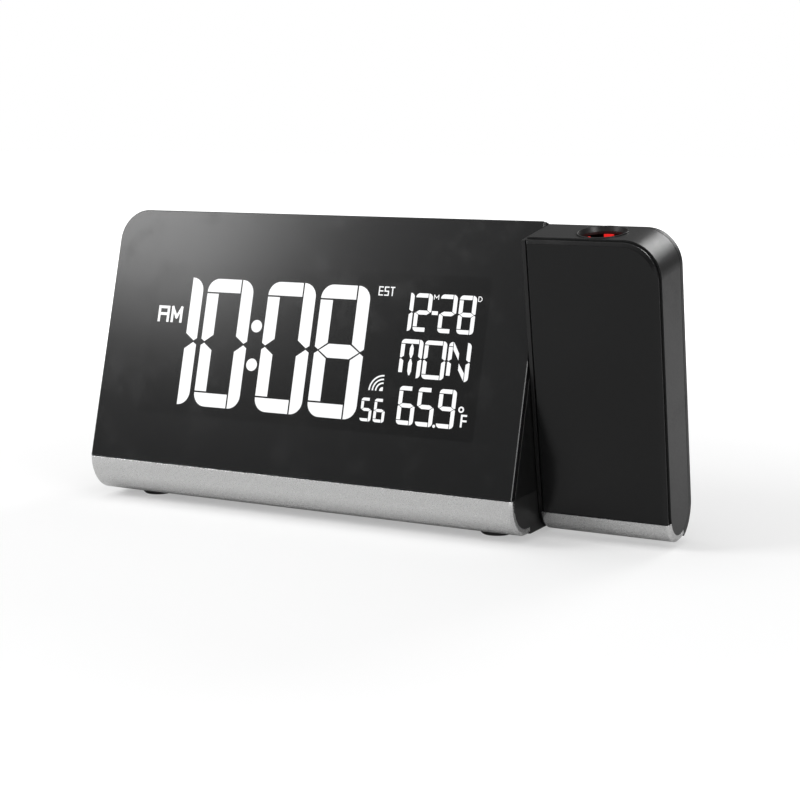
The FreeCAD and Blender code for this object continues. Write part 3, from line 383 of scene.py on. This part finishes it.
# Plastics and rubbers: darkest and lightest colour, smoothest and roughest, then grain per metre, its
# depth, the edge's radius in metres and the specular level. Paints: the same, then how metallic they are.
finishes = {
    "lens": lens_gloss(),
    "arm_gloss": plastic("arm panel gloss", grey(0.0035, -0.03), grey(0.005, -0.03), 0.2, 0.26,
                         1500.0, 0.000002, 0.0003, 0.34),
    "case_black": plastic("black case", grey(0.0035), grey(0.005), 0.34, 0.42),
    "inner_black": plastic("inner black", grey(0.006), grey(0.01), 0.4, 0.5),
    "satin": flake_paint("dark satin paint", grey(0.01), grey(0.02), 0.3, 0.4, 4200.0, 0.000005, 0.1),
    "silver": flake_paint("silver paint", grey(0.72, 0.003), grey(0.9, 0.003), 0.2, 0.3, 5200.0, 0.000005),
    "steel": flake_paint("plated steel", grey(0.42, -0.01), grey(0.6, -0.01), 0.25, 0.35, 1800.0, 0.000003),
    "display_glass": plastic("display glass", grey(0.01, -0.1), grey(0.014, -0.1), 0.1, 0.16,
                             900.0, 0.000001, 0.0001),
    "acrylic": clear("clear acrylic", grey(0.93), 0.08),
    "glass": clear("lens glass", (0.93, 0.97, 0.98), 0.02),
    "white": plastic("white plastic", grey(0.76, 0.01), grey(0.84, 0.01), 0.45, 0.55),
    "grey_rubber": plastic("grey rubber", grey(0.4), grey(0.5), 0.7, 0.8, 1800.0, 0.00002),
    "rubber": plastic("black rubber", grey(0.05), grey(0.08), 0.7, 0.85, 1600.0, 0.00002),
    "board": plastic("green board", (0.01, 0.13, 0.05), (0.02, 0.2, 0.08), 0.3, 0.4, 700.0, 0.00001, 0.0001),
    "ferrite": plastic("ferrite", grey(0.03), grey(0.06), 0.6, 0.75, 1500.0, 0.00002),
    "copper": flake_paint("copper wire", (0.5, 0.22, 0.1), (0.75, 0.36, 0.17), 0.3, 0.4, 1400.0),
    "cell_wrap": plastic("cell sleeve", (0.02, 0.03, 0.07), (0.03, 0.045, 0.1), 0.25, 0.32, 900.0, 0.000004),
    "red": red_led_and_painted_glow(),
    "print": display_white(),
}

# Which nodes take which finish; the others are inner black
nodes_of = {
    "lens": ("front_lens",),
    "arm_gloss": ("arm_front_panel",),
    "display_glass": ("lcd_panel", "image_mask"),
    "acrylic": ("light_guide",),
    "white": ("light_reflector", "arm_socket"),
    "grey_rubber": ("contact_strip",),
    "board": ("main_board", "heat_sensor", "arm_board", "emitter_board"),
    "steel": ("board_screws", "case_screws", "base_screws", "arm_screws", "bay_contacts", "pivot_washer",
              "pivot_clip"),
    "case_black": ("rear_housing", "arm_inner_cap"),
    "silver": ("base_band", "arm_band"),
    "satin": ("base_housing", "battery_door", "arm_housing", "lens_rim"),
    "rubber": ("rubber_feet", "arm_cable"),
    "cell_wrap": ("backup_cells",),
    "ferrite": ("radio_rod",),
    "copper": ("radio_coil",),
    # The retainer's red glow is painted light; the emitter's glow is the LED's own
    "red": ("lens_retainer", "emitter"),
    "glass": ("projection_lens", "rear_lens", "condenser_lens"),
}
finish_of = {node_name: finish_name for finish_name, names in nodes_of.items() for node_name in names}

for node_name, node in nodes.items():
    finish = finishes[finish_of.get(node_name, "inner_black")]
    if not node.data.materials:
        node.data.materials.append(finish)
    for material_slot in node.material_slots:
        material_slot.material = finish


# Display

def arc(centre_x, centre_z, radius, start, end, steps=9):
    """Points on a circle between two angles in degrees."""
    angles = np.radians(np.linspace(start, end, steps))
    return np.stack([centre_x + radius * np.cos(angles), centre_z + radius * np.sin(angles)], axis=1)


def outline(*pieces):
    """One outline from points and runs of points."""
    return np.concatenate([np.atleast_2d(np.asarray(piece, dtype=float)) for piece in pieces])


def seven_segments(left, foot, wide, tall, stroke, gap):
    """A digit's seven bars: straight edges between points set off from the digit's box by the stroke and the
    gap, outer corners on quarter circles a stroke wide, and tips that meet in points half-way up."""
    right, top, middle = left + wide, foot + tall, foot + tall / 2
    tip, shoulder, inner = stroke * 0.28, stroke * 0.24, stroke * 0.57
    bar_end = right - stroke - gap
    crown = stroke * 0.98
    bar_start = left + stroke + gap
    low, high = middle - gap / 2, middle + gap / 2
    left_crown, right_crown = left + crown, right - crown
    return {
        "a": outline((left, top - stroke), arc(left_crown, top - crown, crown, 180, 90), (bar_end, top),
                     (bar_end, top - stroke)),
        "b": outline((right - stroke, top), arc(right_crown, top - crown, crown, 90, 0),
                     (right, middle + shoulder), (right - tip, high), (right - stroke, middle + inner)),
        "c": outline((right - stroke, foot), arc(right_crown, foot + crown, crown, -90, 0),
                     (right, middle - shoulder), (right - tip, low), (right - stroke, middle - inner)),
        "d": outline((left, foot + stroke), arc(left_crown, foot + crown, crown, 180, 270), (bar_end, foot),
                     (bar_end, foot + stroke)),
        "e": outline((left, foot + stroke + gap), (left + stroke, foot + stroke + gap),
                     (left + stroke, middle - inner), (left + tip, low), (left, middle - shoulder)),
        "f": outline((left, top - stroke - gap), (left + stroke, top - stroke - gap),
                     (left + stroke, middle + inner), (left + tip, high), (left, middle + shoulder)),
        "g": outline((left + tip * 1.3, middle), (bar_start, middle + stroke / 2),
                     (bar_end, middle + stroke / 2), (right - tip * 1.3, middle),
                     (bar_end, middle - stroke / 2), (bar_start, middle - stroke / 2)),
    }


# Which bars each figure lights
LIT = {"0": "abcdef", "1": "bc", "2": "abged", "5": "afgcd", "6": "afgedc", "8": "abcdefg", "9": "abfgcd"}


def digit(character, left, foot, wide, tall, stroke, gap):
    """The lit bars of one digit."""
    bars = seven_segments(left, foot, wide, tall, stroke, gap)
    return [bars[name] for name in LIT[character]]


# Strokes from point to point in a letter's box, 0 to 1 across and up, and the strokes of each letter
STROKES = {
    "left": ((0, 0), (0, 1)), "right": ((1, 0), (1, 1)), "stem": ((0.5, 0), (0.5, 1)),
    "top": ((0, 1), (1, 1)), "middle": ((0, 0.5), (1, 0.5)), "foot": ((0, 0), (1, 0)),
    "dip_left": ((0, 1), (0.5, 0.3)), "dip_right": ((1, 1), (0.5, 0.3)),
    "short_top": ((0, 1), (0.6, 1)), "bow_top": ((0.6, 1), (1, 0.68)), "bow": ((1, 0.68), (1, 0.32)),
    "bow_foot": ((1, 0.32), (0.6, 0)), "short_foot": ((0, 0), (0.6, 0)),
    "upper_left": ((0, 0.5), (0, 1)), "lower_right": ((1, 0), (1, 0.5)),
}
LETTERS = {
    "A": ("left", "right", "top", "middle"),
    "D": ("left", "short_top", "bow_top", "bow", "bow_foot", "short_foot"),
    "E": ("left", "top", "middle", "foot"),
    "F": ("left", "top", "middle"),
    "M": ("left", "right", "dip_left", "dip_right"),
    "S": ("top", "upper_left", "middle", "lower_right", "foot"),
    "T": ("top", "stem"),
}


def letter(character, left, foot, wide, tall, stroke):
    """A letter drawn with square-ended bars that keep inside its box."""
    half = stroke / 2
    size = np.array([wide - stroke, tall - stroke])
    corner = np.array([left + half, foot + half])
    bars = []
    for name in LETTERS[character]:
        start, end = (corner + size * np.array(point, dtype=float) for point in STROKES[name])
        along = (end - start) / np.linalg.norm(end - start)
        side = np.array([-along[1], along[0]]) * half
        start, end = start - along * half, end + along * half
        bars.append(np.array([start - side, end - side, end + side, start + side]))
    return bars


def word(text, left, foot, wide, tall, stroke, step=0.0):
    """Letters side by side, a step apart."""
    bars = []
    for i, character in enumerate(text):
        bars += letter(character, left + i * step, foot, wide, tall, stroke)
    return bars


def ring_sector(centre_x, centre_z, inner, outer, start, end):
    """A flat band between two radii and two angles."""
    return outline(arc(centre_x, centre_z, outer, start, end, 17),
                   arc(centre_x, centre_z, inner, end, start, 17))


def prisms(shapes, front, back):
    """Outlines as plates: each outline's points at the front depth, the same points at the back depth, a
    face on either side and a wall of quads from each point to the next."""
    points, faces, count = [], [], 0
    for shape in shapes:
        following = np.roll(shape, -1, axis=0)
        area = np.sum(shape[:, 0] * following[:, 1] - following[:, 0] * shape[:, 1])
        shape = shape if area > 0 else shape[::-1]
        size = len(shape)
        near = np.stack([shape[:, 0], np.full(size, front), shape[:, 1]], axis=1)
        far = np.stack([shape[:, 0], np.full(size, back), shape[:, 1]], axis=1)
        points += [near, far]
        here = np.arange(size)
        ahead = np.roll(here, -1)
        faces.append((count + here).tolist())
        faces.append((count + size + here[::-1]).tolist())
        faces += (count + np.stack([here, here + size, ahead + size, ahead], axis=1)).tolist()
        count += 2 * size
    return np.concatenate(points), faces


def figures(characters, foot, wide, tall, stroke, gap):
    """A row of digits, each with its left edge."""
    bars = []
    for character, left in characters:
        bars += digit(character, left, foot, wide, tall, stroke, gap)
    return bars


def time_shapes():
    """The four large figures and the colon."""
    starts = [(character, end - DIGIT_WIDE) for character, end in TIME_FIGURES]
    shapes = figures(starts, DIGIT_FOOT, DIGIT_WIDE, DIGIT_TALL, DIGIT_STROKE, DIGIT_GAP)
    return shapes + [arc(COLON_ACROSS, level, COLON_RADIUS, 0, 345, 24) for level in COLON_LEVELS]


def notes_shapes():
    """The small words, the date, the day, the temperature, the seconds and the reception mark."""
    shapes = word("AM", 20.3, 48.2, 4.6, 5.6, 0.95, 5.4)
    shapes += word("EST", 105.2, 61.2, 1.65, 3.0, 0.38, 2.1)
    shapes += figures(DATE_FIGURES, DATE_FOOT, DATE_WIDE, SMALL_TALL, SMALL_STROKE, SMALL_GAP)
    dash = np.array([(125.2, 55.9), (127.3, 55.9), (127.3, 57.1), (125.2, 57.1)])
    shapes.append(dash)
    shapes += word("M", 125.3, 60.8, 1.8, 1.6, 0.24) + word("D", 140.8, 60.8, 1.4, 1.7, 0.24)
    shapes += day_shapes()
    shapes += figures(HEAT_FIGURES, DIGIT_FOOT, HEAT_WIDE, SMALL_TALL, SMALL_STROKE, SMALL_GAP)
    point = arc(130.7, 20.8, 0.5, 0, 330, 12)
    degree = ring_sector(139.5, 26.7, 0.5, 1.0, 0, 359.5)
    shapes += [point, degree] + word("F", 139.7, 21.2, 2.1, 4.0, 0.6)
    shapes += figures(SECONDS_FIGURES, DIGIT_FOOT, SECONDS_WIDE, SECONDS_TALL, SECONDS_STROKE, SECONDS_GAP)
    shapes.append(outline(SIGNAL_CORNER, arc(*SIGNAL_CORNER, SIGNAL_DOT, 90, 180)))
    for radius in SIGNAL_RADII:
        shapes.append(ring_sector(*SIGNAL_CORNER, radius, radius + SIGNAL_STROKE, 90, 180))
    return shapes


def day_shapes():
    """The day in fourteen-bar figures: the bars of a ring, with the centre bars that M and N need."""
    shapes = []
    for character, left in DAY_LETTERS:
        bars = seven_segments(left, DAY_FOOT, DAY_WIDE, SMALL_TALL, SMALL_STROKE, SMALL_GAP)
        shapes += [bars[name] for name in ("abcdef" if character == "O" else "bcef")]
        middle, centre, top = DAY_FOOT + SMALL_TALL / 2, left + DAY_WIDE / 2, DAY_FOOT + SMALL_TALL
        inset = SMALL_STROKE + SMALL_GAP
        inner_left, inner_right = left + inset, left + DAY_WIDE - inset
        if character == "M":
            shapes.append(bars["a"])
            shapes += [centre_bar(centre, low, high)
                       for low, high in ((DAY_FOOT + 0.8, middle - 0.15), (middle + 0.15, top - inset))]
        if character == "N":
            corner = arc(left + SMALL_STROKE, top - SMALL_STROKE, SMALL_STROKE, 180, 90)
            shapes.append(outline((left, top - SMALL_STROKE), corner,
                                  (left + SMALL_STROKE, top - SMALL_STROKE)))
            near, far = centre - 0.15, centre + 0.15
            shapes.append(np.array([(inner_left, top), (inner_left, top - 2.4), (near, middle + 0.5),
                                    (near, middle + 2.6)]))
            shapes.append(np.array([(far, middle - 0.5), (far, middle - 2.6), (inner_right, DAY_FOOT + 0.3),
                                    (inner_right, DAY_FOOT + 2.7)]))
    return shapes


def centre_bar(centre, low, high):
    """An upright bar that narrows to both ends."""
    half, tip, taper = SMALL_STROKE / 2, 0.2, 1.3
    across = centre + np.array([-tip, tip, half, half, tip, -tip, -half, -half])
    up = np.array([low, low, low + taper, high - taper, high, high, high - taper, low + taper])
    return np.stack([across, up], axis=1)


def show(name, shapes):
    """Lit white shapes on the lens."""
    points, faces = prisms(shapes, -PRINT_PROUD, PRINT_SUNK)
    add_piece(name, on_slab(points), faces, "clock_body", finishes["print"])


show("time_figures", time_shapes())
show("small_figures", notes_shapes())


# Screws with a cross in the head

def screw(head_radius, head_height, shank_radius, shank_length):
    """A turned screw on the upright axis: a profile of radius and height carried round, its head falling off
    with the square of the radius, and a cross sunk where the distance to either arm is under its half-width.
    Gives the points, the wall's quads and the two end faces."""
    rings = np.linspace(0.02, 1.0, 22) * (head_radius - 0.15)
    dome = head_height - 0.22 * head_height * (rings / head_radius) ** 2
    rim = np.array([(head_radius, head_height * 0.62), (head_radius, 0.05), (head_radius - 0.05, 0.0)])
    shank = np.array([(shank_radius, 0.0), (shank_radius, -shank_length + 0.4),
                      (shank_radius - 0.4, -shank_length), (0.02, -shank_length)])
    profile = np.concatenate([np.stack([rings, dome], axis=1), rim, shank])
    turns = np.linspace(0, 2 * math.pi, 64, endpoint=False)
    x = profile[:, :1] * np.cos(turns)
    y = profile[:, :1] * np.sin(turns)
    z = np.repeat(profile[:, 1:], len(turns), axis=1)
    half, reach = head_radius * 0.13, head_radius * 0.62
    from_arm = np.maximum(np.minimum(np.abs(x), np.abs(y)) - half, np.maximum(np.abs(x), np.abs(y)) - reach)
    sink = np.clip(0.5 - from_arm / (head_radius * 0.06), 0, 1) * head_height * 0.6
    on_top = np.arange(len(profile))[:, None] < len(rings)
    z = z - np.where(on_top, sink, 0.0)
    rows, columns = x.shape
    points = np.stack([x.ravel(), y.ravel(), z.ravel()], axis=1)
    index = np.arange(rows * columns).reshape(rows, columns)
    ahead = np.roll(index, -1, axis=1)
    walls = np.stack([index[:-1], index[1:], ahead[1:], ahead[:-1]], axis=-1).reshape(-1, 4)
    return points, walls, (index[0], index[-1][::-1])


def screws(name, kind, places, turn, place, body, node):
    """Copies of one screw, turned by turn, moved to each place and set on the part."""
    points, walls, ends = kind
    all_points = np.concatenate([turn(points) + np.array(spot) for spot in places])
    all_faces = []
    for first in np.arange(len(places)) * len(points):
        all_faces += (walls + first).tolist() + [(end + first).tolist() for end in ends]
    piece = add_piece(name, place(all_points), all_faces, body, finishes["steel"])
    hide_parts(node)


def head_backwards(points):
    """Points turned so that up becomes backwards."""
    return np.stack([points[:, 0], points[:, 2], -points[:, 1]], axis=1)


def head_down(points):
    """Points turned upside down about the width."""
    return np.stack([points[:, 0], -points[:, 1], -points[:, 2]], axis=1)


screws("case_screws_crossed", screw(2.6, 1.4, 1.2, 15.1),
       [(x, 18.6, z) for x in (7.0, 153.0) for z in (8.0, 78.0)], head_backwards, on_slab,
       "clock_body", "case_screws")
screws("arm_screws_crossed", screw(2.0, 1.0, 0.91, 7.5),
       [(5.0, 9.0, -41.0), (37.0, 9.0, -41.0), (5.0, 9.0, 33.0), (37.0, 9.0, 27.0)], head_backwards, on_arm,
       "projector_arm", "arm_screws")
screws("base_screws_crossed", screw(2.6, 1.4, 1.2, 15.6),
       [(x, 17.0, -11.1) for x in (24.0, 136.0)], head_down, on_base, "clock_body", "base_screws")


# Red lugs on the lens retainer

def lens_lugs():
    """Four upright pieces of a ring, at the back, front and sides of the lens: outlines between two radii
    and two angles, carried up the lens's axis."""
    shapes = [ring_sector(ARM_MIDDLE, 0.0, LUG_INNER, LUG_OUTER, middle - LUG_HALF, middle + LUG_HALF)
              for middle in (0, 90, 180, 270)]
    points, faces = prisms(shapes, LUG_LOW, LUG_HIGH)
    upright = np.stack([points[:, 0], -points[:, 2], points[:, 1]], axis=1)
    # The lugs take the red painted glow
    add_piece("lens_lugs", on_arm(upright), faces, "lens_carrier", finishes["red"])


lens_lugs()


# Plus and minus printed on two of the buttons

def button_marks():
    """A cross and a bar on the caps of the two setting buttons, facing backwards: rectangles as plates."""
    cap_height = 0.9
    face = SLAB_DEPTH + cap_height
    level, half, arm = 64.0, 0.3, 1.5
    flat = np.array([(-arm, -half), (arm, -half), (arm, half), (-arm, half)])
    tall = np.array([(-half, half), (half, half), (half, arm), (-half, arm)])
    low = np.array([(-half, -arm), (half, -arm), (half, -half), (-half, -half)])
    for name, across, shapes in (("plus", 80.0, (flat, tall, low)), ("minus", 98.0, (flat,))):
        placed = [shape + np.array([across, level]) for shape in shapes]
        points, faces = prisms(placed, face - PRINT_SUNK, face + 0.02)
        add_piece(name + "_mark", on_slab(points), faces, name + "_button_body",
                  finishes["white"])


button_marks()


# Floor, light and camera

def floor():
    """A wide white floor that keeps the clock's shadow; only the camera sees it lifted, more so far away."""
    half = 6.0
    mesh = bpy.data.meshes.new("floor")
    corners = [(-half, -half, 0), (half, -half, 0), (half, half, 0), (-half, half, 0)]
    mesh.from_pydata(corners, [], [(0, 1, 2, 3)])
    plane = bpy.data.objects.new("floor", mesh)
    bpy.context.scene.collection.objects.link(plane)
    material = bpy.data.materials.new("floor white")
    material.use_nodes = True
    tree = material.node_tree
    tree.nodes.remove(tree.nodes["Principled BSDF"])
    paper = tree.nodes.new("ShaderNodeBsdfDiffuse")
    paper.inputs["Color"].default_value = (*grey(0.56), 1.0)
    lift = tree.nodes.new("ShaderNodeEmission")
    path = tree.nodes.new("ShaderNodeLightPath")
    coordinates = tree.nodes.new("ShaderNodeTexCoord")
    reach = tree.nodes.new("ShaderNodeVectorMath")
    reach.operation = "LENGTH"
    tree.links.new(coordinates.outputs["Object"], reach.inputs[0])
    near, far, near_lift, far_lift = 0.16, 0.6, 0.4, 1.0
    added = ramp(tree, reach.outputs["Value"], near, far, near_lift, far_lift)
    tree.links.new(arithmetic(tree, "MULTIPLY", path.outputs["Is Camera Ray"], added),
                   lift.inputs["Strength"])
    total = tree.nodes.new("ShaderNodeAddShader")
    tree.links.new(paper.outputs[0], total.inputs[0])
    tree.links.new(lift.outputs[0], total.inputs[1])
    tree.links.new(total.outputs[0], tree.nodes["Material Output"].inputs["Surface"])
    mesh.materials.append(material)


def sky():
    """Soft room light, dimmer towards the horizon and behind, and plain white where the camera sees it."""
    world = bpy.data.worlds.new("studio")
    bpy.context.scene.world = world
    world.use_nodes = True
    tree = world.node_tree
    background = tree.nodes["Background"]
    coordinates = tree.nodes.new("ShaderNodeTexCoord")
    place = tree.nodes.new("ShaderNodeSeparateXYZ")
    tree.links.new(coordinates.outputs["Generated"], place.inputs["Vector"])
    path = tree.nodes.new("ShaderNodeLightPath")
    height = ramp(tree, place.outputs["Z"], 0.1, 0.95, 0.2, 0.85)
    behind = ramp(tree, place.outputs["Y"], -0.2, 0.6, 1.0, 0.45)
    height = arithmetic(tree, "MULTIPLY", height, behind)
    seen = path.outputs["Is Camera Ray"]
    unseen = arithmetic(tree, "SUBTRACT", 1.0, seen)
    strength = arithmetic(tree, "ADD", arithmetic(tree, "MULTIPLY", height, unseen), seen)
    tree.links.new(strength, background.inputs["Strength"])
    background.inputs["Color"].default_value = (*grey(1.0), 1.0)


def softbox(name, direction, distance, size, watts):
    """A square area lamp at a distance in one direction, aimed at the middle of the clock."""
    lamp = bpy.data.lights.new(name, "AREA")
    lamp.shape = "SQUARE"
    lamp.size = size
    lamp.energy = watts
    box = bpy.data.objects.new(name, lamp)
    bpy.context.scene.collection.objects.link(box)
    way = np.array(direction, dtype=float)
    way = way / np.linalg.norm(way)
    half_way_up = 0.05
    target = np.array([0.0, 0.0, half_way_up])
    box.location = (target + way * distance).tolist()
    yaw = math.atan2(way[0], -way[1])
    box.rotation_euler = (math.pi / 2 - math.asin(way[2]), 0.0, yaw)
    box.visible_camera = False


def camera():
    """The photograph's view: its place, direction and lens."""
    lens = bpy.data.cameras.new("camera")
    lens.lens = 77.95
    lens.sensor_width = 36.0
    lens.shift_x = -0.0005
    lens.shift_y = -0.0124
    lens.clip_start = 0.01
    lens.clip_end = 50.0
    viewer = bpy.data.objects.new("camera", lens)
    bpy.context.scene.collection.objects.link(viewer)
    viewer.location = (0.27188, -0.49376, 0.12872)
    viewer.rotation_euler = (math.radians(90 - 8.72), 0.0, math.radians(28.18))
    bpy.context.scene.camera = viewer


floor()
sky()
softbox("left box", (-0.7, -0.58, 0.54), 1.2, 0.5, 7.0)
softbox("right box", (0.87, -0.46, 0.2), 1.2, 0.45, 4.2)
softbox("back box", (0.2, 0.86, 0.45), 1.3, 0.45, 4.4)
softbox("top box", (-0.1, -0.1, 1.0), 1.4, 1.0, 3.5)
camera()
bpy.context.scene.view_settings.view_transform = "Standard"
